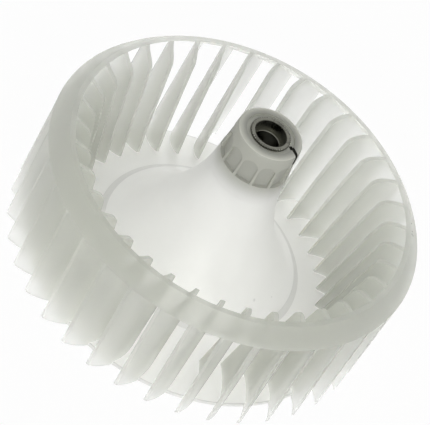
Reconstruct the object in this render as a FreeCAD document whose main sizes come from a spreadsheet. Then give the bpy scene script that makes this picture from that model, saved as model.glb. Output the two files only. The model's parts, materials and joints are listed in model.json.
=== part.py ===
"""Centrifugal fan impeller of a clothes dryer, moulded in one piece round a metal hub sleeve.

Frame: the fan axis is +Z and the flat underside of the blades and plate rim lies at Z = 0.
The tip of the first blade lies blade_phase round from +X, and the others follow evenly.
All sizes are in millimetres and all angles in degrees.
"""

import FreeCAD
import Part
import Sketcher
import math
import os
import re

SIZES = {
    # Blade ring
    "blade_count": 37,
    "blade_phase": 7.33,
    "tip_radius": 99.0,
    "blade_depth": 31.8,
    "bend_radius": 31.5,
    "tip_angle": 45.0,
    "blade_lead": 7.0,
    "blade_sweep": 74.0,
    "blade_thickness": 2.2,
    "blade_edge": 0.7,
    "shoulder_drop": 3.0,
    "shoulder_inset": 8.5,
    "shoulder_round": 6.0,
    "shoulder_run": 3.9,
    "shoulder_fall": 4.6,
    # Conical ring that ties the blade ends
    "ring_flare": 1.3,
    "ring_run": 9.1,
    "ring_base": 62.4,
    "ring_rise": 10.6,
    "ring_wall": 2.8,
    "ring_bulge": 55.0,
    # Back plate, dished upwards into the bell
    "wall": 1.8,
    "plate_inset": 10.0,
    "dish_radius": 100.0,
    "band_radius": 55.2,
    "band_height": 13.3,
    "band_width": 2.5,
    "band_rise": 2.1,
    "foot_round": 13.0,
    "foot_radius": 44.9,
    "foot_height": 20.2,
    "bell_radius": 100.0,
    # Hub on top of the bell
    "hub_radius": 19.6,
    "neck_height": 75.5,
    "hub_taper": 2.3,
    "hub_height": 106.4,
    "hub_round": 1.4,
    "groove_width": 2.3,
    "groove_depth": 1.0,
    "boss_wall": 3.1,
    "boss_drop": 13.5,
    # Arched recesses round the hub
    "recess_count": 12,
    "recess_width": 8.2,
    "recess_drop": 19.9,
    "recess_height": 10.1,
    "recess_rise": 3.4,
    "recess_inset": 3.1,
    # Slit through the hub rim
    "slit_width": 1.8,
    "slit_depth": 5.5,
    "slit_radius": 13.9,
    "slit_azimuth": -6.0,
    "slit_heading": -39.0,
    # Metal sleeve in the hub
    "sleeve_radius": 10.7,
    "sleeve_proud": 0.2,
    "bore_radius": 6.8,
    "mouth_radius": 8.5,
    "mouth_depth": 6.0,
    "mouth_chamfer": 0.35,
}

# Places worked out from the sizes
DERIVED = {
    "ring_radius": "(tip_radius + ring_flare)",
    "eye_radius": "(tip_radius + ring_flare - ring_run)",
    "ring_top": "(ring_base + ring_rise)",
    "plate_radius": "(tip_radius - plate_inset)",
    "blade_foot": "(tip_radius - blade_depth)",
    "collar_radius": "(hub_radius - hub_taper)",
    "groove_radius": "(sleeve_radius + groove_width)",
    "boss_radius": "(sleeve_radius + boss_wall)",
    "boss_height": "(neck_height - boss_drop)",
    "recess_base": "(hub_height - recess_drop)",
    "recess_floor": "(hub_radius - recess_inset)",
}

MARGIN = 6.0

doc = FreeCAD.newDocument("dryer_fan_impeller")
sheet = doc.addObject("Spreadsheet::Sheet", "sizes")
for row, (alias, value) in enumerate(SIZES.items(), start=1):
    sheet.set(f"A{row}", alias.replace("_", " "))
    sheet.set(f"B{row}", str(value))
    sheet.setAlias(f"B{row}", alias)
doc.recompute()


def sized(formula):
    """Return a formula with worked-out places spelled out and every size pointing at its cell."""
    spelled = re.sub(r"[a-z_]+", lambda word: DERIVED.get(word[0], word[0]), formula)
    return re.sub(r"[a-z_]+", lambda word: f"sizes.{word[0]}" if word[0] in SIZES else word[0], spelled)


def number(formula):
    """Return the present value of a formula."""
    value = sheet.evalExpression(sized(formula))
    return float(getattr(value, "Value", value))


def origin_part(body, role):
    """Return the origin plane or axis of a body that has the given role."""
    return next(item for item in body.Origin.OriginFeatures if item.Role == role)


def new_sketch(body, name, role):
    """Add a sketch on one of the origin planes of its own body."""
    sketch = body.newObject("Sketcher::SketchObject", name)
    sketch.AttachmentSupport = [(origin_part(body, role), "")]
    sketch.MapMode = "FlatFace"
    return sketch


def arc_between(start, end, radius, side):
    """Return an arc from start to end with its centre on the left (+1) or right (-1)."""
    chord = end - start
    left = FreeCAD.Vector(-chord.y, chord.x, 0).normalize()
    reach = math.sqrt(radius ** 2 - (chord.Length / 2) ** 2)
    centre = start + chord * 0.5 + left * (side * reach)
    first, last = (start, end) if side > 0 else (end, start)
    angles = [math.atan2(point.y - centre.y, point.x - centre.x) for point in (first, last)]
    circle = Part.Circle(centre, FreeCAD.Vector(0, 0, 1), radius)
    return Part.ArcOfCircle(circle, angles[0], angles[1])


def draw_loop(sketch, corners):
    """Draw a closed loop whose corners and radii are bound to the sheet.

    Each corner is (x formula, y formula) or (x formula, y formula, radius formula, side), where
    the last two describe the arc that leads on from that corner.
    """
    points = [FreeCAD.Vector(number(corner[0]), number(corner[1]), 0) for corner in corners]
    ends = []
    for index, corner in enumerate(corners):
        start, end = points[index], points[(index + 1) % len(points)]
        if len(corner) == 2:
            edge = sketch.addGeometry(Part.LineSegment(start, end))
            ends.append((edge, 1, 2))
            continue
        radius, side = corner[2], corner[3]
        edge = sketch.addGeometry(arc_between(start, end, number(radius), side))
        ends.append((edge, 1, 2) if side > 0 else (edge, 2, 1))
        bound = sketch.addConstraint(Sketcher.Constraint("Radius", edge, number(radius)))
        sketch.setExpression(f"Constraints[{bound}]", sized(radius))
    for index, (edge, head, tail) in enumerate(ends):
        following = ends[(index + 1) % len(ends)]
        sketch.addConstraint(Sketcher.Constraint("Coincident", edge, tail, following[0], following[1]))
        for kind, formula in (("DistanceX", corners[index][0]), ("DistanceY", corners[index][1])):
            bound = sketch.addConstraint(Sketcher.Constraint(kind, -1, 1, edge, head, number(formula)))
            sketch.setExpression(f"Constraints[{bound}]", sized(formula))


def new_body(name):
    """Add a body that may hold several separate solids while it is being built."""
    body = doc.addObject("PartDesign::Body", name)
    body.AllowCompound = True
    return body


def repeat_round(body, name, feature, count):
    """Repeat a feature evenly round the fan axis."""
    pattern = body.newObject("PartDesign::PolarPattern", name)
    pattern.Originals = [feature]
    pattern.Axis = (origin_part(body, "Z_Axis"), [""])
    pattern.Angle = 360
    pattern.setExpression("Occurrences", sized(count))
    body.Tip = pattern
    doc.recompute()


def turn_profile(body, name, corners, kind="PartDesign::Revolution"):
    """Turn a profile in the XZ plane a whole turn round the fan axis."""
    sketch = new_sketch(body, f"{name}_profile", "XZ_Plane")
    draw_loop(sketch, corners)
    turned = body.newObject(kind, name)
    turned.Profile = sketch
    turned.ReferenceAxis = (sketch, ["V_Axis"])
    turned.Angle = 360
    doc.recompute()
    return turned


def surface_corners(shift):
    """Return the corners of the dish and bell, from the plate rim up to the neck.

    A shift of one wall down and inwards turns the upper surface into the lower one.
    """
    return [
        (f"plate_radius - {shift}", f"wall - {shift}", "dish_radius", -1),
        (f"band_radius - {shift}", f"band_height - {shift}"),
        (f"band_radius - band_width - {shift}", f"band_height + band_rise - {shift}", "foot_round", -1),
        (f"foot_radius - {shift}", f"foot_height - {shift}", "bell_radius", -1),
        (f"hub_radius - {shift}", f"neck_height - {shift}"),
    ]


def build_shell():
    """Build the back plate, bell and hub as one solid with a straight hole for the sleeve."""
    body = new_body("shell")
    corners = [("plate_radius", "0")] + surface_corners("0") + [
        ("collar_radius", "hub_height - hub_round", "hub_round", 1),
        ("collar_radius - hub_round", "hub_height"),
        ("groove_radius", "hub_height"),
        ("groove_radius", "hub_height - groove_depth"),
        ("sleeve_radius", "hub_height - groove_depth"),
        ("sleeve_radius", "0"),
    ]
    turn_profile(body, "shell_turn", corners)
    cut_recesses(body)
    cut_slit(body)
    return body


def cut_recesses(body):
    """Cut the arched flats into the side of the hub."""
    sketch = new_sketch(body, "recess_arch", "XZ_Plane")
    half = "(recess_width / 2)"
    draw_loop(sketch, [
        (half, "recess_base"),
        (half, "recess_base + recess_height", f"({half}^2 + recess_rise^2) / (2 * recess_rise)", 1),
        (f"-{half}", "recess_base + recess_height"),
        (f"-{half}", "recess_base"),
    ])
    sketch.setExpression("AttachmentOffset.Base.z", sized("recess_floor"))
    arch = body.newObject("PartDesign::Pocket", "recess")
    arch.Profile = sketch
    arch.Type = "Length"
    arch.Reversed = True
    arch.setExpression("Length", sized("hub_radius"))
    doc.recompute()
    repeat_round(body, "recesses", arch, "recess_count")


def cut_slit(body):
    """Cut the narrow slit through the hub rim, seen from above a short skewed slot."""
    sketch = new_sketch(body, "slit_outline", "XY_Plane")
    middle = ("slit_radius * cos(slit_azimuth)", "slit_radius * sin(slit_azimuth)")
    along = ("cos(slit_heading)", "sin(slit_heading)")
    back, ahead = "(slit_radius - sleeve_radius)", "hub_radius / 2"
    corners = []
    for reach, side in ((f"-{back}", "-"), (ahead, "-"), (ahead, "+"), (f"-{back}", "+")):
        corners.append((
            f"{middle[0]} + ({reach}) * {along[0]} - ({side}slit_width / 2) * {along[1]}",
            f"{middle[1]} + ({reach}) * {along[1]} + ({side}slit_width / 2) * {along[0]}",
        ))
    draw_loop(sketch, corners)
    sketch.setExpression("AttachmentOffset.Base.z", sized("hub_height - slit_depth"))
    slit = body.newObject("PartDesign::Pocket", "slit")
    slit.Profile = sketch
    slit.Type = "Length"
    slit.Reversed = True
    slit.setExpression("Length", sized("slit_depth + wall"))
    doc.recompute()


def build_ring():
    """Build the conical ring that the blade ends run into."""
    body = new_body("ring")
    turn_profile(body, "ring_turn", [
        ("ring_radius", "ring_base", "ring_bulge", 1),
        ("eye_radius", "ring_top"),
        ("eye_radius - ring_wall", "ring_top", "ring_bulge", -1),
        ("ring_radius - ring_wall", "ring_base"),
    ])
    return body


def blade_point(offset, angle):
    """Return the formulas of a point at an angle on the blade's bend, offset outwards from it."""
    reach = f"(bend_radius + {offset})"
    return (
        f"tip_radius - bend_radius * sin(tip_angle) + {reach} * cos({angle})",
        f"{reach} * sin({angle}) - bend_radius * cos(tip_angle)",
    )


def build_blades():
    """Build the ring of blades: curved plates, then trimmed to the wheel's outline."""
    body = new_body("blades")
    plan = new_sketch(body, "blade_plan", "XY_Plane")
    outer = "90 - tip_angle - blade_lead"
    inner = f"{outer} + blade_sweep"
    half_chord = "(bend_radius + blade_edge) * sin(blade_sweep / 2)"
    rise = "((bend_radius + blade_edge) * (1 - cos(blade_sweep / 2)) + blade_thickness - blade_edge)"
    back = f"(({half_chord})^2 + {rise}^2) / (2 * {rise})"
    draw_loop(plan, [
        blade_point("0", outer),
        blade_point("blade_edge", outer) + (back, 1),
        blade_point("blade_edge", inner),
        blade_point("0", inner) + ("bend_radius", -1),
    ])
    plan.setExpression("AttachmentOffset.Rotation.Angle", sized("blade_phase"))
    pad = body.newObject("PartDesign::Pad", "blade")
    pad.Profile = plan
    pad.setExpression("Length", sized("ring_top"))
    doc.recompute()
    repeat_round(body, "blade_ring", pad, "blade_count")
    trim_blades(body)
    return body


def trim_blades(body):
    """Trim the blades: slanted inner edge, rounded shoulder and an end inside the ring's wall."""
    sketch = new_sketch(body, "trim_profile", "XZ_Plane")
    low, high = f"-{MARGIN}", f"ring_top + {MARGIN}"
    near, far = f"blade_foot - {MARGIN}", f"ring_radius + {MARGIN}"
    shoulder = ("eye_radius - shoulder_inset", "ring_top - shoulder_drop")
    draw_loop(sketch, [(near, low), (far, low), (far, high), (near, high)])
    draw_loop(sketch, [
        ("tip_radius", "0"),
        ("ring_radius", "ring_base"),
        ("eye_radius - ring_wall / 2", "ring_top - ring_wall / 4"),
        shoulder + ("shoulder_round", 1),
        (f"{shoulder[0]} - shoulder_run", f"{shoulder[1]} - shoulder_fall"),
        ("blade_foot", "0"),
    ])
    trim = body.newObject("PartDesign::Groove", "blade_trim")
    trim.Profile = sketch
    trim.ReferenceAxis = (sketch, ["V_Axis"])
    trim.Angle = 360
    doc.recompute()


def build_hollow():
    """Build the space under the plate and bell, round the boss that holds the sleeve."""
    body = new_body("hollow")
    corners = [("0", f"-{MARGIN}"), ("plate_radius - wall", f"-{MARGIN}")]
    corners += surface_corners("wall") + [
        ("hub_radius - wall", "neck_height"),
        ("boss_radius", "neck_height"),
        ("boss_radius", "boss_height"),
        ("0", "boss_height"),
    ]
    turn_profile(body, "hollow_turn", corners)
    return body


def build_impeller():
    """Join plate, bell, hub, ring and blades into one moulding and clear its underside."""
    joined = doc.addObject("Part::MultiFuse", "joined")
    joined.Shapes = [build_shell(), build_ring(), build_blades()]
    doc.recompute()
    impeller = doc.addObject("Part::Cut", "impeller")
    impeller.Base = joined
    impeller.Tool = build_hollow()
    impeller.Label = "impeller"
    doc.recompute()
    return impeller


def build_sleeve():
    """Build the metal sleeve: a wide mouth on top and a through bore for the motor shaft."""
    body = new_body("sleeve")
    top = "hub_height + sleeve_proud"
    turn_profile(body, "sleeve_turn", [
        ("bore_radius", "boss_height"),
        ("sleeve_radius", "boss_height"),
        ("sleeve_radius", f"{top} - mouth_chamfer"),
        ("sleeve_radius - mouth_chamfer", top),
        ("mouth_radius + mouth_chamfer", top),
        ("mouth_radius", f"{top} - mouth_chamfer"),
        ("mouth_radius", f"{top} - mouth_depth"),
        ("bore_radius", f"{top} - mouth_depth"),
    ])
    body.Label = "hub_sleeve"
    return body


def export(parts):
    """Check every object of the document, then write each part to its own file."""
    for item in doc.Objects:
        if "Invalid" in item.State or "Error" in item.State:
            raise RuntimeError(f"{item.Name} failed: {item.State}")
    os.makedirs("parts", exist_ok=True)
    for part in parts:
        if part.Shape.isNull() or not part.Shape.isValid():
            raise RuntimeError(f"{part.Label} has no valid shape")
        print(part.Label, "solids", len(part.Shape.Solids), "volume", round(part.Shape.Volume, 1))
    for part in parts:
        part.Shape.exportStep(f"parts/{part.Label}.step")


export([build_impeller(), build_sleeve()])
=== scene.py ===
"""Looks of a clothes dryer's fan impeller: a pale translucent moulding round a dark steel sleeve.

All lengths are in metres, in the frame of the solids: the fan axis is +Z and the wheel stands on Z = 0.
"""

import json
import logging
import math
from dataclasses import dataclass, field
from enum import Enum
from typing import Any, Union

import bmesh
import bpy
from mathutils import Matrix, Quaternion, Vector


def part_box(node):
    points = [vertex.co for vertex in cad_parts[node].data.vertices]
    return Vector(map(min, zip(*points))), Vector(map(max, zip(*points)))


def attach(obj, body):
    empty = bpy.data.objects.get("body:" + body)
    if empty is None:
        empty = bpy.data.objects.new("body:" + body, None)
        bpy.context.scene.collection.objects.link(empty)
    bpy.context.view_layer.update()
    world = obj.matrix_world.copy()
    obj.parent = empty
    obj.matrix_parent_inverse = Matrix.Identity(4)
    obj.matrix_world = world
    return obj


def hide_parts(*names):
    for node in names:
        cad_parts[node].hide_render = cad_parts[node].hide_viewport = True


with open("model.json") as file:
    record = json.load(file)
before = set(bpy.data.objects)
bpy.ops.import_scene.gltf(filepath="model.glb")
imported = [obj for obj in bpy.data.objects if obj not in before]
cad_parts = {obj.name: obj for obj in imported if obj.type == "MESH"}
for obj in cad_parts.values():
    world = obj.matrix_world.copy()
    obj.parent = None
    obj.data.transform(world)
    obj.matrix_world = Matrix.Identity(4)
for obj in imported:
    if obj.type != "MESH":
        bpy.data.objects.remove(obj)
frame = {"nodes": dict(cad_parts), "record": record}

MM = 0.001
MEAN_TONE = 0.5
NOISE_DETAIL = 4.0
STEPS_PER_TOOTH = 4
WHITE = (1.0, 1.0, 1.0, 1.0)

Colour = tuple[float, float, float]
Point = tuple[float, float, float]
Span = tuple[float, float]
Value = Union[float, bpy.types.NodeSocket]
Tint = Union[Colour, bpy.types.NodeSocket]

log = logging.getLogger("impeller_scene")


class Ray(Enum):
    """The kinds of ray that see the plain white surroundings."""

    CAMERA = "Is Camera Ray"
    GLOSSY = "Is Glossy Ray"
    TRANSMISSION = "Is Transmission Ray"


class LampShape(Enum):
    """The outlines of a soft lamp."""

    SQUARE = "SQUARE"
    ROUND = "DISK"


class Graph:
    """A shader node tree that is filled in reading order."""

    def __init__(self, tree: bpy.types.NodeTree) -> None:
        """Start from an empty tree.

        Args:
            tree: The node tree of a material, a world or a group.
        """
        self.tree = tree
        tree.nodes.clear()

    def add(self, kind: str, **settings: Any) -> bpy.types.Node:
        """Add a node.

        Args:
            kind: Blender's name of the node type.
            **settings: Attributes of the node, such as operation.

        Returns:
            The new node.
        """
        node = self.tree.nodes.new(kind)
        for name, value in settings.items():
            setattr(node, name, value)
        return node

    def feed(self, socket: bpy.types.NodeSocket, value: Any) -> None:
        """Link a socket to another, or set its own value.

        Args:
            socket: The input socket.
            value: A socket that drives it, or a plain value.
        """
        if isinstance(value, bpy.types.NodeSocket):
            self.tree.links.new(value, socket)
        else:
            socket.default_value = value

    def feed_all(self, node: bpy.types.Node, inputs: dict[str, Any]) -> bpy.types.Node:
        """Feed a node's inputs by name.

        Args:
            node: The node.
            inputs: Values by input name, with underscores for spaces.

        Returns:
            The same node.
        """
        for name, value in inputs.items():
            self.feed(node.inputs[name.replace("_", " ")], value)
        return node

    def shader(self, kind: str, **inputs: Any) -> bpy.types.Node:
        """Add a shader.

        Args:
            kind: Blender's name of the node type.
            **inputs: Values of its inputs, with underscores for spaces.

        Returns:
            The shader's node.
        """
        return self.feed_all(self.add(kind), inputs)

    def group(self, tree: bpy.types.NodeTree, **inputs: Any) -> bpy.types.Node:
        """Place a shared effect.

        Args:
            tree: The effect's node group.
            **inputs: Values of its inputs, with underscores for spaces.

        Returns:
            The group's node.
        """
        return self.feed_all(self.add("ShaderNodeGroup", node_tree=tree), inputs)

    def place(self) -> tuple[bpy.types.NodeSocket, bpy.types.Node]:
        """Find the shaded place on the object.

        Returns:
            The place's socket, and the node that splits it into X, Y and Z.
        """
        place = self.add("ShaderNodeTexCoord").outputs["Object"]
        split = self.add("ShaderNodeSeparateXYZ")
        self.feed(split.inputs[0], place)
        return place, split

    def math(self, operation: str, first: Value, second: Value = 0.0) -> bpy.types.NodeSocket:
        """Combine two numbers.

        Args:
            operation: Name of the Math node's operation.
            first: First number.
            second: Second number, unused by one-sided operations.

        Returns:
            The result's socket.
        """
        node = self.add("ShaderNodeMath", operation=operation)
        self.feed(node.inputs[0], first)
        self.feed(node.inputs[1], second)
        return node.outputs[0]

    def product(self, *factors: Value) -> Value:
        """Multiply numbers.

        Args:
            *factors: The numbers.

        Returns:
            Their product.
        """
        result = factors[0]
        for factor in factors[1:]:
            result = self.math("MULTIPLY", result, factor)
        return result

    def length(self, first: Value, second: Value) -> bpy.types.NodeSocket:
        """Measure how far two steps at right angles lead.

        Args:
            first: Length of one step.
            second: Length of the other step.

        Returns:
            The distance's socket.
        """
        return self.math("SQRT", self.math("ADD", self.product(first, first), self.product(second, second)))

    def ramp(self, value: Value, low: float, high: float) -> bpy.types.NodeSocket:
        """Rise smoothly from 0 to 1.

        Args:
            value: The number that is followed.
            low: Where the result is 0.
            high: Where the result is 1, which may lie below low.

        Returns:
            The mask's socket.
        """
        node = self.add("ShaderNodeMapRange", interpolation_type="SMOOTHSTEP", clamp=True)
        self.feed(node.inputs["Value"], value)
        node.inputs["From Min"].default_value = min(low, high)
        node.inputs["From Max"].default_value = max(low, high)
        node.inputs["To Min"].default_value = 0.0 if low < high else 1.0
        node.inputs["To Max"].default_value = 1.0 if low < high else 0.0
        return node.outputs["Result"]

    def level(self, factor: Value, first: Value, second: Value) -> bpy.types.NodeSocket:
        """Blend two numbers.

        Args:
            factor: Share of the second number.
            first: The number at factor 0.
            second: The number at factor 1.

        Returns:
            The blended number's socket.
        """
        node = self.add("ShaderNodeMix", data_type="FLOAT", clamp_factor=True)
        sockets = (node.inputs[0], node.inputs[2], node.inputs[3])
        for socket, value in zip(sockets, (factor, first, second)):
            self.feed(socket, value)
        return node.outputs[0]

    def blend(self, factor: Value, first: Tint, second: Tint) -> bpy.types.NodeSocket:
        """Blend two colours.

        Args:
            factor: Share of the second colour.
            first: The colour at factor 0.
            second: The colour at factor 1.

        Returns:
            The blended colour's socket.
        """
        node = self.add("ShaderNodeMix", data_type="RGBA", blend_type="MIX")
        self.feed(node.inputs["Factor"], factor)
        for socket, colour in zip(node.inputs[6:8], (first, second)):
            self.feed(socket, colour if isinstance(colour, bpy.types.NodeSocket) else (*colour, 1.0))
        return node.outputs[2]

    def scale(self, colour: Tint, factor: Value) -> bpy.types.NodeSocket:
        """Make a colour lighter or darker.

        Args:
            colour: The colour.
            factor: The number it is multiplied by.

        Returns:
            The new colour's socket.
        """
        node = self.add("ShaderNodeVectorMath", operation="SCALE")
        self.feed(node.inputs[0], colour)
        self.feed(node.inputs["Scale"], factor)
        return node.outputs[0]

    def bump(self, height: Value, strength: float, depth: float) -> bpy.types.NodeSocket:
        """Make a surface look uneven.

        Args:
            height: The unevenness, from 0 to 1.
            strength: Strength of the effect.
            depth: Real depth of the unevenness.

        Returns:
            The normal's socket.
        """
        return self.shader("ShaderNodeBump", Strength=strength, Distance=depth, Height=height).outputs[0]

    def mix(self, factor: Value, first: bpy.types.Node, second: bpy.types.Node) -> bpy.types.Node:
        """Mix two shaders.

        Args:
            factor: Share of the second shader.
            first: Node of the shader at factor 0.
            second: Node of the shader at factor 1.

        Returns:
            The mixed shader's node.
        """
        node = self.add("ShaderNodeMixShader")
        for socket, value in zip(node.inputs, (factor, first.outputs[0], second.outputs[0])):
            self.feed(socket, value)
        return node

    def show(self, shader: bpy.types.Node, kind: str = "ShaderNodeOutputMaterial") -> None:
        """Put a shader on the tree's output.

        Args:
            shader: Node of the shader.
            kind: Blender's name of the output's node type.
        """
        self.shader(kind, Surface=shader.outputs[0])


class SurfaceEffects:
    """Effects that the materials place, each a node group that is built once."""

    def __init__(self) -> None:
        """Build the groups."""
        self.grain = self._grain()
        self.specks = self._specks()

    @staticmethod
    def _open_group(
        name: str, inputs: dict[str, str], outputs: dict[str, str],
    ) -> tuple[Graph, bpy.types.Node, bpy.types.Node]:
        """Start a node group.

        Args:
            name: Name of the group.
            inputs: Socket types by input name.
            outputs: Socket types by output name.

        Returns:
            The graph, its input node and its output node.
        """
        tree = bpy.data.node_groups.new(name, "ShaderNodeTree")
        for way, sockets in (("INPUT", inputs), ("OUTPUT", outputs)):
            for label, kind in sockets.items():
                tree.interface.new_socket(name=label, in_out=way, socket_type=kind)
        graph = Graph(tree)
        return graph, graph.add("NodeGroupInput"), graph.add("NodeGroupOutput")

    def _grain(self) -> bpy.types.NodeTree:
        """Return the group for a surface's fine unevenness.

        Returns:
            Group with a Height for bump and a slow Tone around 0.5 for colour and gloss.
        """
        graph, source, result = self._open_group(
            "surface_grain",
            {"Vector": "NodeSocketVector", "Fine Scale": "NodeSocketFloat", "Slow Scale": "NodeSocketFloat"},
            {"Height": "NodeSocketFloat", "Tone": "NodeSocketFloat"},
        )
        for output, scale in (("Height", "Fine Scale"), ("Tone", "Slow Scale")):
            noise = graph.add("ShaderNodeTexNoise")
            noise.inputs["Detail"].default_value = NOISE_DETAIL
            graph.feed(noise.inputs["Vector"], source.outputs["Vector"])
            graph.feed(noise.inputs["Scale"], source.outputs[scale])
            graph.feed(result.inputs[output], noise.outputs["Fac"])
        return graph.tree

    def _specks(self) -> bpy.types.NodeTree:
        """Return the group for scattered dots of dirt.

        Returns:
            Group with a Mask that is 1 inside a dot.
        """
        graph, source, result = self._open_group(
            "dirt_specks",
            {"Vector": "NodeSocketVector", "Scale": "NodeSocketFloat", "Size": "NodeSocketFloat",
             "Share": "NodeSocketFloat"},
            {"Mask": "NodeSocketFloat"},
        )
        cells = graph.add("ShaderNodeTexVoronoi")
        graph.feed(cells.inputs["Vector"], source.outputs["Vector"])
        graph.feed(cells.inputs["Scale"], source.outputs["Scale"])
        dot = graph.math("LESS_THAN", cells.outputs["Distance"], source.outputs["Size"])
        channels = graph.add("ShaderNodeSeparateColor")
        graph.feed(channels.inputs[0], cells.outputs["Color"])
        kept = graph.math("LESS_THAN", channels.outputs[0], source.outputs["Share"])
        graph.feed(result.inputs["Mask"], graph.product(dot, kept))
        return graph.tree


def new_material(name: str) -> tuple[bpy.types.Material, Graph]:
    """Make an empty node material.

    Args:
        name: Name of the material.

    Returns:
        The material and its graph.
    """
    material = bpy.data.materials.new(name)
    material.use_nodes = True
    return material, Graph(material.node_tree)


def add_object(name: str, data: bpy.types.ID) -> bpy.types.Object:
    """Add an object to the scene.

    Args:
        name: Name of the object.
        data: Its mesh, lamp or camera.

    Returns:
        The object.
    """
    thing = bpy.data.objects.new(name, data)
    bpy.context.scene.collection.objects.link(thing)
    return thing


def smooth(mesh: bpy.types.Mesh, crease_angle: float) -> None:
    """Shade a mesh smooth, apart from its creases.

    Args:
        mesh: The mesh.
        crease_angle: Angle between two faces from which their edge stays sharp.
    """
    mesh.shade_smooth()
    mesh.set_sharp_from_angle(angle=crease_angle)


def facing(place: Point, aim: Point) -> Quaternion:
    """Turn a lamp or camera towards a point.

    Args:
        place: Where it stands.
        aim: The point it looks at.

    Returns:
        Its rotation.
    """
    return (Vector(aim) - Vector(place)).to_track_quat("-Z", "Y")


@dataclass(frozen=True)
class Mark:
    """A dot of dirt or a scuff on the moulding."""

    place: Point
    size: float


@dataclass(frozen=True)
class Spot:
    """The shaded place on the moulding."""

    place: bpy.types.NodeSocket
    x: bpy.types.NodeSocket
    y: bpy.types.NodeSocket
    height: bpy.types.NodeSocket
    across: bpy.types.NodeSocket


@dataclass(frozen=True)
class Zones:
    """Masks of the moulding's zones, each 1 inside its zone."""

    shell: Value
    ring: Value
    tip: Value
    edge: Value
    dark: Value


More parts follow.
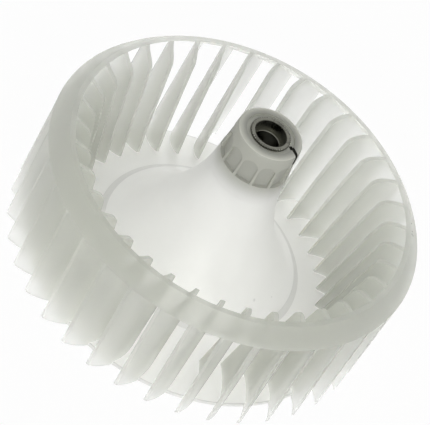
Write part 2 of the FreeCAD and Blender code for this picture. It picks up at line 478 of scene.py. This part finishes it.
@dataclass(frozen=True)
class TranslucentMoulding:
    """Natural polypropylene: milky, pale and see-through where it is thin."""

    # Colour of the milky part by zone, and the tones that multiply it
    blade_colour: Colour = (0.64, 0.65, 0.605)
    # painted light: the blades' outer ends are lighter, standing in for the light that reaches them from
    # outside the wheel
    painted_backlight_tip_colour: Colour = (0.70, 0.71, 0.67)
    ring_colour: Colour = (0.62, 0.63, 0.585)
    shell_colour: Colour = (0.945, 0.945, 0.93)
    hub_colour: Colour = (0.58, 0.585, 0.53)
    # near black for dots of dirt, and also the painted shade that fills the slit in the hub's rim
    speck_and_slit_shade_colour: Colour = (0.04, 0.04, 0.035)
    # darker floors of the flats: partly painted shade, partly the dark sleeve seen through the thinner wall
    recess_shade_tone: float = 0.92
    # painted shade on the sloping band round the dish
    band_painted_shade: float = 0.84
    # painted light: lifts the narrow inner edge faces, which would otherwise shade darker than the blades
    edge_painted_light: float = 1.05
    scuff_tone: float = 0.86
    # painted shade on the plate's low outer rim
    plate_edge_shade_tone: float = 0.8
    # painted light on the hub's top face: painted shade next to the sleeve, a painted highlight towards its
    # rounded outer edge
    hub_top_shade_to_highlight: Span = (0.74, 1.4)
    grain_tones: Span = (0.96, 1.04)

    # Gloss and fine unevenness
    blade_roughness: float = 0.42
    shell_roughness: float = 0.28
    plastic_ior: float = 1.49
    fine_grain: float = 900.0
    slow_grain: float = 28.0
    bump_strength: float = 0.10
    bump_depth: float = 0.1 * MM

    # Share of the milky part that glows with the light behind it
    blade_glow: float = 0.6
    shell_glow: float = 0.4

    # Share of the surface that is seen through
    root_clearness: float = 0.63
    tip_clearness: float = 0.90
    ring_clearness: float = 0.73
    edge_clearness: float = 0.63
    shell_clearness: float = 0.02

    # Colour of what shows through, and the frosted share of it
    root_clear: Colour = (0.915, 0.918, 0.90)
    tip_clear: Colour = (0.975, 0.977, 0.965)
    ring_clear: Colour = (0.95, 0.953, 0.935)
    frost_tone: float = 0.9
    frost_share: float = 0.5
    frost_roughness: float = 0.5
    frost_ior: float = 1.35

    # Radii and heights of the blades, the plate and the ring
    blade_span: Span = (79 * MM, 98 * MM)
    edge_line: tuple[Span, ...] = (
        (67.2 * MM, 0.0), (79.1 * MM, 65.0 * MM), (80.5 * MM, 66.9 * MM), (82.0 * MM, 68.2 * MM),
        (83.6 * MM, 69.1 * MM), (91.0 * MM, 71.1 * MM))
    edge_reach: float = 0.3 * MM
    edge_fade: float = 0.1 * MM
    bell_radius: float = 66 * MM
    dish_centre: Span = (103.8 * MM, 100.7 * MM)
    dish_reach: float = 99.7 * MM
    plate_radius: float = 89.1 * MM
    plate_edge: Span = (88.4 * MM, 2.6 * MM)
    band: Span = (52.4 * MM, 55.5 * MM)
    band_heights: Span = (12.6 * MM, 16.2 * MM)
    ring_low: Span = (97.6 * MM, 62.2 * MM)
    ring_slope: float = 0.86
    ring_fades: Span = (0.4 * MM, 0.2 * MM)

    # Radii and heights of the hub, its flats, its slit and its collar
    hub_fade: Span = (76.5 * MM, 88.5 * MM)
    hub_foot: Span = (19.6 * MM, 75.5 * MM)
    hub_slope: float = 0.078
    recess_heights: Span = (86.2 * MM, 100.2 * MM)
    recess_depths: Span = (0.25 * MM, 0.7 * MM)
    collar_reach: Span = (13.0 * MM, 17.2 * MM)
    collar_height: float = 105.9 * MM
    slit_place: Span = (13.82 * MM, -1.45 * MM)
    slit_heading: float = math.radians(-39)
    slit_half: float = 0.93 * MM
    slit_floor: float = 100.7 * MM
    slit_back: float = 3.25 * MM
    soft_fade: float = 0.3 * MM

    # Specks at the ring's edge and faint scuffs on the bell
    marks: tuple[Mark, ...] = (
        Mark((84.5 * MM, 38.8 * MM, 71.3 * MM), 0.65 * MM),
        Mark((86.9 * MM, 34.6 * MM, 70.8 * MM), 0.65 * MM),
        Mark((87.5 * MM, 32.6 * MM, 71.0 * MM), 0.7 * MM),
        Mark((88.5 * MM, 33.1 * MM, 70.2 * MM), 0.7 * MM),
        Mark((-84.6 * MM, -49.7 * MM, 66.4 * MM), 0.5 * MM),
    )
    scuffs: tuple[Mark, ...] = (
        Mark((37.6 * MM, -19.6 * MM, 22.8 * MM), 1.1 * MM),
        Mark((49.1 * MM, -4.0 * MM, 17.5 * MM), 0.9 * MM),
        Mark((44.7 * MM, -7.7 * MM, 19.9 * MM), 0.7 * MM),
        Mark((20.0 * MM, -32.9 * MM, 26.9 * MM), 0.8 * MM),
    )
    mark_core: float = 0.5

    @staticmethod
    def _between(graph: Graph, value: Value, ends: Span, soft: float) -> Value:
        """Mask a range.

        Args:
            graph: The material's graph.
            value: The number that is followed.
            ends: Low and high end of the range.
            soft: Width over which the mask fades at each end.

        Returns:
            A mask that is 1 inside the range.
        """
        low, high = ends
        return graph.product(graph.ramp(value, low - soft, low), graph.ramp(value, high + soft, high))

    def _ring_mask(self, graph: Graph, spot: Spot) -> Value:
        """Mask the conical ring.

        Args:
            graph: The material's graph.
            spot: The shaded place.

        Returns:
            A mask that is 1 on the ring.
        """
        radius, foot = self.ring_low
        radius_fade, foot_fade = self.ring_fades
        lean = graph.product(graph.math("SUBTRACT", spot.height, foot), self.ring_slope)
        outside = graph.ramp(graph.math("ADD", spot.across, lean), radius - radius_fade, radius)
        return graph.product(outside, graph.ramp(spot.height, foot - foot_fade, foot))

    def _shell_mask(self, graph: Graph, spot: Spot) -> Value:
        """Mask the plate, bell and hub, apart from the blades that stand on the plate.

        Args:
            graph: The material's graph.
            spot: The shaded place.

        Returns:
            A mask that is 1 on the shell.
        """
        centre_radius, centre_height = self.dish_centre
        aside = graph.math("SUBTRACT", spot.across, centre_radius)
        below = graph.math("SUBTRACT", spot.height, centre_height)
        under_dish = graph.math("GREATER_THAN", graph.length(aside, below), self.dish_reach)
        plate = graph.product(under_dish, graph.math("LESS_THAN", spot.across, self.plate_radius))
        return graph.math("MAXIMUM", plate, graph.math("LESS_THAN", spot.across, self.bell_radius))

    def _edge_mask(self, graph: Graph, spot: Spot) -> Value:
        """Mask the narrow faces along the blades' inner edges, which are lightened with painted light.

        Args:
            graph: The material's graph.
            spot: The shaded place.

        Returns:
            A mask that is 1 on the inner edges.
        """
        mask: Value = 0.0
        for (low_radius, low), (high_radius, high) in zip(self.edge_line, self.edge_line[1:]):
            run, rise = high_radius - low_radius, high - low
            length = math.hypot(run, rise)
            out = graph.product(graph.math("SUBTRACT", spot.across, low_radius), rise / length)
            up = graph.product(graph.math("SUBTRACT", spot.height, low), run / length)
            aside = graph.math("ABSOLUTE", graph.math("SUBTRACT", out, up))
            near = graph.math("LESS_THAN", aside, self.edge_reach)
            span = self._between(graph, spot.height, (low, high), self.edge_fade)
            mask = graph.math("MAXIMUM", mask, graph.product(near, span))
        return mask

    def _plate_edge_mask(self, graph: Graph, spot: Spot) -> Value:
        """Mask the low outer edge, which is the plate's rim where the shell is and which gets painted shade.

        Args:
            graph: The material's graph.
            spot: The shaded place.

        Returns:
            A mask that is 1 on the edge.
        """
        radius, height = self.plate_edge
        low = graph.math("LESS_THAN", spot.height, height)
        return graph.product(graph.math("GREATER_THAN", spot.across, radius), low)

    def _band_mask(self, graph: Graph, spot: Spot) -> Value:
        """Mask the raised band round the dish, whose slope is darkened with painted shade.

        Args:
            graph: The material's graph.
            spot: The shaded place.

        Returns:
            A mask that is 1 on the band.
        """
        return graph.product(
            self._between(graph, spot.across, self.band, self.soft_fade),
            self._between(graph, spot.height, self.band_heights, self.soft_fade))

    def _recess_mask(self, graph: Graph, spot: Spot) -> Value:
        """Mask the sunk flats round the hub, whose floors are darkened: partly painted shade in the hollows,
        partly the dark sleeve showing through the thinner wall.

        Args:
            graph: The material's graph.
            spot: The shaded place.

        Returns:
            A mask that is 1 on the floors of the flats.
        """
        radius, foot = self.hub_foot
        lean = graph.product(graph.math("SUBTRACT", spot.height, foot), self.hub_slope)
        outline = graph.math("SUBTRACT", radius, lean)
        sunk = graph.ramp(graph.math("SUBTRACT", outline, spot.across), *self.recess_depths)
        return graph.product(sunk, self._between(graph, spot.height, self.recess_heights, self.soft_fade))

    def _slit_mask(self, graph: Graph, spot: Spot) -> Value:
        """Mask the inside of the slit in the hub's rim, which is painted near black as shade.

        Args:
            graph: The material's graph.
            spot: The shaded place.

        Returns:
            A mask that is 1 inside the slit.
        """
        x_step = graph.math("SUBTRACT", spot.x, self.slit_place[0])
        y_step = graph.math("SUBTRACT", spot.y, self.slit_place[1])
        run, rise = math.cos(self.slit_heading), math.sin(self.slit_heading)
        along = graph.math("ADD", graph.product(x_step, run), graph.product(y_step, rise))
        aside = graph.math("SUBTRACT", graph.product(y_step, run), graph.product(x_step, rise))
        narrow = graph.math("LESS_THAN", graph.math("ABSOLUTE", aside), self.slit_half)
        ahead = graph.math("GREATER_THAN", along, -self.slit_back)
        high = graph.math("GREATER_THAN", spot.height, self.slit_floor)
        return graph.product(narrow, ahead, high)

    def _mark_mask(self, graph: Graph, spot: Spot, marks: tuple[Mark, ...]) -> Value:
        """Mask a set of marks.

        Args:
            graph: The material's graph.
            spot: The shaded place.
            marks: The marks.

        Returns:
            A mask that is 1 inside a mark.
        """
        mask: Value = 0.0
        for mark in marks:
            gap = graph.add("ShaderNodeVectorMath", operation="DISTANCE")
            graph.feed(gap.inputs[0], spot.place)
            graph.feed(gap.inputs[1], mark.place)
            dot = graph.ramp(gap.outputs["Value"], mark.size, self.mark_core * mark.size)
            mask = graph.math("MAXIMUM", mask, dot)
        return mask

    def _zones(self, graph: Graph, spot: Spot) -> Zones:
        """Part the surface into its zones.

        Args:
            graph: The material's graph.
            spot: The shaded place.

        Returns:
            The masks of the zones.
        """
        shell = self._shell_mask(graph, spot)
        slit = self._slit_mask(graph, spot)
        specks = self._mark_mask(graph, spot, self.marks)
        return Zones(
            shell=shell,
            ring=self._ring_mask(graph, spot),
            tip=graph.ramp(spot.across, *self.blade_span),
            edge=graph.product(self._edge_mask(graph, spot), graph.math("SUBTRACT", 1.0, shell)),
            # the dark zone: dirt specks, and the slit's painted shade
            dark=graph.math("MAXIMUM", slit, specks),
        )

    def _shade(self, graph: Graph, spot: Spot, zones: Zones, tone: Value) -> Value:
        """Work out how much lighter or darker each place is than its zone's colour.

        Args:
            graph: The material's graph.
            spot: The shaded place.
            zones: The masks of the zones.
            tone: The slow tone of the grain.

        Returns:
            The number that multiplies the colour.
        """
        shade: Value = graph.level(tone, *self.grain_tones)
        toned = (
            # painted shade on the band's slope
            (self._band_mask(graph, spot), self.band_painted_shade),
            # painted light on the blades' narrow inner edges
            (zones.edge, self.edge_painted_light),
            # partly painted shade on the floors of the flats
            (self._recess_mask(graph, spot), self.recess_shade_tone),
            (self._mark_mask(graph, spot, self.scuffs), self.scuff_tone),
            # painted shade on the plate's rim
            (graph.product(self._plate_edge_mask(graph, spot), zones.shell), self.plate_edge_shade_tone),
        )
        for mask, zone_tone in toned:
            shade = graph.product(shade, graph.level(mask, 1.0, zone_tone))
        # painted shade near the sleeve and painted highlight at the outer edge of the hub's top face
        collar = graph.level(graph.ramp(spot.across, *self.collar_reach), *self.hub_top_shade_to_highlight)
        top = graph.math("GREATER_THAN", spot.height, self.collar_height)
        return graph.product(shade, graph.level(top, 1.0, collar))

    def _colour(self, graph: Graph, spot: Spot, zones: Zones, tone: Value) -> bpy.types.NodeSocket:
        """Colour the milky part.

        Args:
            graph: The material's graph.
            spot: The shaded place.
            zones: The masks of the zones.
            tone: The slow tone of the grain.

        Returns:
            The colour's socket.
        """
        hub = graph.product(zones.shell, graph.ramp(spot.height, *self.hub_fade))
        coloured = ((zones.ring, self.ring_colour), (zones.shell, self.shell_colour), (hub, self.hub_colour))
        # painted light: the blades grow lighter towards their tips
        colour = graph.blend(zones.tip, self.blade_colour, self.painted_backlight_tip_colour)
        for mask, zone_colour in coloured:
            colour = graph.blend(mask, colour, zone_colour)
        shaded = graph.scale(colour, self._shade(graph, spot, zones, tone))
        # dirt specks, and painted shade inside the slit
        return graph.blend(zones.dark, shaded, self.speck_and_slit_shade_colour)

    def _milky(
        self, graph: Graph, zones: Zones, colour: bpy.types.NodeSocket, normal: bpy.types.NodeSocket,
    ) -> bpy.types.Node:
        """Make the part that scatters the light.

        Args:
            graph: The material's graph.
            zones: The masks of the zones.
            colour: Colour of the plastic.
            normal: Normal of the uneven surface.

        Returns:
            The shader's node.
        """
        roughness = graph.level(zones.shell, self.blade_roughness, self.shell_roughness)
        body = graph.shader(
            "ShaderNodeBsdfPrincipled", Base_Color=colour, Roughness=roughness,
            IOR=self.plastic_ior, Normal=normal)
        glow = graph.shader("ShaderNodeBsdfTranslucent", Color=colour)
        return graph.mix(graph.level(zones.shell, self.blade_glow, self.shell_glow), body, glow)

    def _see_through(self, graph: Graph, zones: Zones) -> bpy.types.Node:
        """Make the part that lets the light through, frosted to the eye and clear to shadows.

        Args:
            graph: The material's graph.
            zones: The masks of the zones.

        Returns:
            The shader's node.
        """
        blade = graph.blend(zones.tip, self.root_clear, self.tip_clear)
        passed = graph.blend(zones.ring, blade, self.ring_clear)
        clear = graph.shader("ShaderNodeBsdfTransparent", Color=passed)
        frost = graph.shader(
            "ShaderNodeBsdfPrincipled", Base_Color=graph.scale(passed, self.frost_tone),
            Roughness=self.frost_roughness, IOR=self.frost_ior, Transmission_Weight=1.0)
        shadow = graph.add("ShaderNodeLightPath").outputs["Is Shadow Ray"]
        return graph.mix(graph.level(shadow, self.frost_share, 0.0), clear, frost)

    def _clearness(self, graph: Graph, zones: Zones) -> Value:
        """Work out how far each place is seen through.

        Args:
            graph: The material's graph.
            zones: The masks of the zones.

        Returns:
            The share that is seen through.
        """
        cleared = (
            (zones.ring, self.ring_clearness),
            (zones.edge, self.edge_clearness),
            (zones.shell, self.shell_clearness),
        )
        clearness = graph.level(zones.tip, self.root_clearness, self.tip_clearness)
        for mask, zone_clearness in cleared:
            clearness = graph.level(mask, clearness, zone_clearness)
        return graph.product(clearness, graph.math("SUBTRACT", 1.0, zones.dark))

    def build(self, effects: SurfaceEffects) -> bpy.types.Material:
        """Make the material.

        Args:
            effects: The shared node groups.

        Returns:
            The finished material.
        """
        material, graph = new_material("translucent_moulding")
        place, split = graph.place()
        x, y, height = split.outputs
        spot = Spot(place, x, y, height, graph.length(x, y))
        zones = self._zones(graph, spot)
        grain = graph.group(
            effects.grain, Vector=place, Fine_Scale=self.fine_grain, Slow_Scale=self.slow_grain)
        colour = self._colour(graph, spot, zones, grain.outputs["Tone"])
        normal = graph.bump(grain.outputs["Height"], self.bump_strength, self.bump_depth)
        milky = self._milky(graph, zones, colour, normal)
        graph.show(graph.mix(self._clearness(graph, zones), milky, self._see_through(graph, zones)))
        return material


@dataclass(frozen=True)
class OiledSteel:
    """Dark turned steel with an oily film, lighter inside the bore than on its end face, whose darkness is
    painted shade.
    """

    colour: Colour = (0.10, 0.10, 0.085)
    light_tone: float = 2.2
    roughness: float = 0.36
    fine_grain: float = 2500.0
    slow_grain: float = 160.0
    bump_strength: float = 0.25
    bump_depth: float = 0.05 * MM
    pit_colour: Colour = (0.02, 0.02, 0.015)
    pit_scale: float = 900.0
    pit_size: float = 0.2
    pit_share: float = 0.12
    mouth: Span = (105.7 * MM, 106.35 * MM)
    # painted light and shade: the steel below the bore's mouth is lifted a little and its end face darkened
    depth_tone: float = 1.1
    face_painted_shade: float = 0.75

    def build(self, effects: SurfaceEffects) -> bpy.types.Material:
        """Make the material.

        Args:
            effects: The shared node groups.

        Returns:
            The finished material.
        """
        material, graph = new_material("oiled_steel")
        place, split = graph.place()
        grain = graph.group(
            effects.grain, Vector=place, Fine_Scale=self.fine_grain, Slow_Scale=self.slow_grain)
        pits = graph.group(
            effects.specks, Vector=place, Scale=self.pit_scale, Size=self.pit_size, Share=self.pit_share)
        light_colour = tuple(self.light_tone * part for part in self.colour)
        colour = graph.blend(grain.outputs["Tone"], self.colour, light_colour)
        colour = graph.blend(pits.outputs["Mask"], colour, self.pit_colour)
        # painted shade on the end face, the rest a little lighter
        face = graph.ramp(split.outputs["Z"], *self.mouth)
        colour = graph.scale(colour, graph.level(face, self.depth_tone, self.face_painted_shade))
        roughness = graph.math("ADD", grain.outputs["Tone"], self.roughness - MEAN_TONE)
        normal = graph.bump(grain.outputs["Height"], self.bump_strength, self.bump_depth)
        graph.show(graph.shader(
            "ShaderNodeBsdfPrincipled", Base_Color=colour, Metallic=1.0, Roughness=roughness, Normal=normal))
        return material


@dataclass
class Moulding:
    """The wheel itself: plate, bell, hub, blades and ring in one piece."""

    finish: TranslucentMoulding = field(default_factory=TranslucentMoulding)
    crease_angle: float = math.radians(32)
    ring_heights: Span = (62.4 * MM, 73.0 * MM)
    eye_radius: float = 75 * MM
    rim_out: float = 1.3 * MM
    rim_down: float = 1.3 * MM

    def _settle_ring(self, mesh: bpy.types.Mesh) -> int:
        """Lower the rim and widen the eye a little, from nothing at the ring's foot to the most at its top.

        Args:
            mesh: The wheel's mesh.

        Returns:
            The number of points that were moved.
        """
        foot, top = self.ring_heights
        moved = 0
        for vertex in mesh.vertices:
            share = (vertex.co.z - foot) / (top - foot)
            across = math.hypot(vertex.co.x, vertex.co.y)
            if share <= 0 or across < self.eye_radius:
                continue
            reach = 1 + self.rim_out * share / across
            vertex.co.x *= reach
            vertex.co.y *= reach
            vertex.co.z -= self.rim_down * share
            moved += 1
        return moved

    def build(self, effects: SurfaceEffects) -> bpy.types.Object:
        """Shape the wheel from a copy of its solid's mesh and dress it.

        Args:
            effects: The shared node groups.

        Returns:
            The wheel's object, in place of the plain solid.
        """
        mesh = frame["nodes"]["impeller"].data.copy()
        mesh.name = "moulded_wheel"
        log.info("ring points settled: %d", self._settle_ring(mesh))
        mesh.materials.clear()
        mesh.materials.append(self.finish.build(effects))
        smooth(mesh, self.crease_angle)
        wheel = add_object("moulded_wheel", mesh)
        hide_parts("impeller")
        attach(wheel, "root")
        return wheel


@dataclass
class HubSleeve:
    """The steel sleeve in the hub, with a toothed collar that grips the plastic."""

    tooth_count: int = 48
    tooth_depth: float = 0.35 * MM
    collar_height: float = 9 * MM
    edge_round: float = 0.25 * MM
    crease_angle: float = math.radians(30)
    finish: OiledSteel = field(default_factory=OiledSteel)

    def _profile(self) -> list[tuple[float, float, bool]]:
        """Return the half section as (radius, height, toothed), from the bore's lower end round the outside.

        Returns:
            Points of the closed section.
        """
        low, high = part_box("hub_sleeve")
        sizes = {mount["name"]: mount["dims"] for mount in frame["record"]["mounts"]}
        bore = sizes["shaft_bore"]["r_mm"] * MM
        mouth = sizes["shaft_shoulder_seat"]["r_mm"] * MM
        step = low.z + sizes["shaft_bore"]["length_mm"] * MM
        outside, top, cut = high.x, high.z, self.edge_round
        return [
            (bore, low.z + cut, False),
            (bore + cut, low.z, False),
            (outside - cut, low.z, False),
            (outside, low.z + cut, False),
            (outside, top - self.collar_height, False),
            (outside, top - self.collar_height + cut, True),
            (outside, top - cut, True),
            (outside - cut, top, True),
            (mouth + cut, top, False),
            (mouth, top - cut, False),
            (mouth, step, False),
            (bore + cut, step, False),
            (bore, step - cut, False),
        ]

    def _turned_mesh(self) -> bpy.types.Mesh:
        """Turn the section round the axis, with a notch beside each tooth of the collar.

        Returns:
            The sleeve's mesh.
        """
        section = self._profile()
        steps = STEPS_PER_TOOTH * self.tooth_count
        shape = bmesh.new()
        rings = []
        for step in range(steps):
            turn = 2 * math.pi * step / steps
            notch = self.tooth_depth if step % STEPS_PER_TOOTH < STEPS_PER_TOOTH / 2 else 0.0
            ring = []
            for radius, height, toothed in section:
                reach = radius - notch if toothed else radius
                ring.append(shape.verts.new((reach * math.cos(turn), reach * math.sin(turn), height)))
            rings.append(ring)
        for here, there in zip(rings, rings[1:] + rings[:1]):
            for index in range(len(section)):
                following = (index + 1) % len(section)
                shape.faces.new((here[index], there[index], there[following], here[following]))
        bmesh.ops.recalc_face_normals(shape, faces=shape.faces)
        mesh = bpy.data.meshes.new("knurled_sleeve")
        shape.to_mesh(mesh)
        shape.free()
        return mesh

    def build(self, effects: SurfaceEffects) -> bpy.types.Object:
        """Shape the sleeve and dress it.

        Args:
            effects: The shared node groups.

        Returns:
            The sleeve's object, in place of the plain solid.
        """
        mesh = self._turned_mesh()
        mesh.materials.append(self.finish.build(effects))
        smooth(mesh, self.crease_angle)
        sleeve = add_object("knurled_sleeve", mesh)
        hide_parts("hub_sleeve")
        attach(sleeve, "root")
        return sleeve


@dataclass(frozen=True)
class Lamp:
    """A soft lamp."""

    name: str
    place: Point
    watts: float
    width: float = 0.8
    aim: Point = (0.0, 0.0, 0.05)
    shape: LampShape = LampShape.SQUARE
    seen: bool = True


@dataclass
class Studio:
    """A white table and backdrop under soft lamps, and the camera of the photograph."""

    place: Point = (0.0, -1.282286, 1.247123)
    aim: Point = (-0.00263, 0.0, 0.04108)
    roll: float = math.radians(32.28)
    lens_mm: float = 291.915
    sensor_mm: float = 36.0
    floor_half: float = 3.0
    floor_drop: float = 0.1 * MM
    floor_colour: Colour = (0.88, 0.88, 0.87)
    floor_lift: float = 0.96
    sky_strength: float = 0.40
    lamps: tuple[Lamp, ...] = (
        Lamp("front_lamp", (0.2, -1.1, 0.45), 8.2),
        Lamp("left_lamp", (-1.1, 0.0, 0.4), 1.2),
        Lamp("back_lamp", (0.05, 1.1, 0.4), 4.6),
        Lamp("right_lamp", (1.1, 0.0, 0.4), 0.9),
        Lamp("table_lamp", (0.0, 0.0, 0.2 * MM), 0.02, width=0.24, aim=(0.0, 0.0, 1.0),
             shape=LampShape.ROUND, seen=False),
    )

    def set_camera(self) -> bpy.types.Object:
        """Place the camera.

        Returns:
            The camera's object.
        """
        lens = bpy.data.cameras.new("camera")
        lens.sensor_fit = "HORIZONTAL"
        lens.sensor_width = self.sensor_mm
        lens.lens = self.lens_mm
        camera = add_object("camera", lens)
        camera.location = self.place
        camera.rotation_mode = "QUATERNION"
        camera.rotation_quaternion = facing(self.place, self.aim) @ Quaternion((0, 0, 1), self.roll)
        bpy.context.scene.camera = camera
        return camera

    @staticmethod
    def _seen_white(graph: Graph) -> Value:
        """Return a mask that is 1 for the rays which see plain white.

        Args:
            graph: Graph of the floor or the world.

        Returns:
            The mask.
        """
        path = graph.add("ShaderNodeLightPath")
        mask: Value = path.outputs[Ray.CAMERA.value]
        for ray in (Ray.GLOSSY, Ray.TRANSMISSION):
            mask = graph.math("MAXIMUM", mask, path.outputs[ray.value])
        return mask

    def lay_floor(self) -> bpy.types.Object:
        """Lay the floor.

        Returns:
            The floor's object.
        """
        material, graph = new_material("white_table")
        cloth = graph.shader("ShaderNodeBsdfDiffuse", Color=(*self.floor_colour, 1.0))
        white = graph.shader("ShaderNodeEmission", Color=WHITE, Strength=1.0)
        graph.show(graph.mix(graph.product(self._seen_white(graph), self.floor_lift), cloth, white))
        half = self.floor_half
        corners = [(-half, -half, 0), (half, -half, 0), (half, half, 0), (-half, half, 0)]
        mesh = bpy.data.meshes.new("floor")
        mesh.from_pydata(corners, [], [(0, 1, 2, 3)])
        mesh.materials.append(material)
        floor = add_object("floor", mesh)
        floor.location.z = -self.floor_drop
        return floor

    def light_sky(self) -> None:
        """Light the room evenly, with a backdrop that is seen as plain white."""
        world = bpy.data.worlds.new("soft_room")
        bpy.context.scene.world = world
        world.use_nodes = True
        graph = Graph(world.node_tree)
        even = graph.shader("ShaderNodeBackground", Color=WHITE, Strength=self.sky_strength)
        white = graph.shader("ShaderNodeBackground", Color=WHITE, Strength=1.0)
        graph.show(graph.mix(self._seen_white(graph), even, white), "ShaderNodeOutputWorld")

    @staticmethod
    def hang_lamp(lamp: Lamp) -> bpy.types.Object:
        """Hang a lamp.

        Args:
            lamp: Its place, size and power.

        Returns:
            The lamp's object.
        """
        light = bpy.data.lights.new(lamp.name, "AREA")
        light.shape = lamp.shape.value
        light.size = lamp.width
        light.energy = lamp.watts
        hung = add_object(lamp.name, light)
        hung.location = lamp.place
        hung.rotation_mode = "QUATERNION"
        hung.rotation_quaternion = facing(lamp.place, lamp.aim)
        hung.visible_camera = lamp.seen
        return hung

    def build(self) -> None:
        """Set up camera, floor, room and lamps."""
        self.set_camera()
        self.lay_floor()
        self.light_sky()
        for lamp in self.lamps:
            self.hang_lamp(lamp)
        bpy.context.scene.view_settings.view_transform = "Standard"


def main() -> None:
    """Dress the wheel, build its sleeve and set up the studio."""
    logging.basicConfig(level=logging.INFO, format="%(message)s")
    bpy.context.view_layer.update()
    effects = SurfaceEffects()
    for piece in (Moulding().build(effects), HubSleeve().build(effects)):
        log.info("%s: %d faces", piece.name, len(piece.data.polygons))
    Studio().build()


if __name__ == "__main__":
    main()
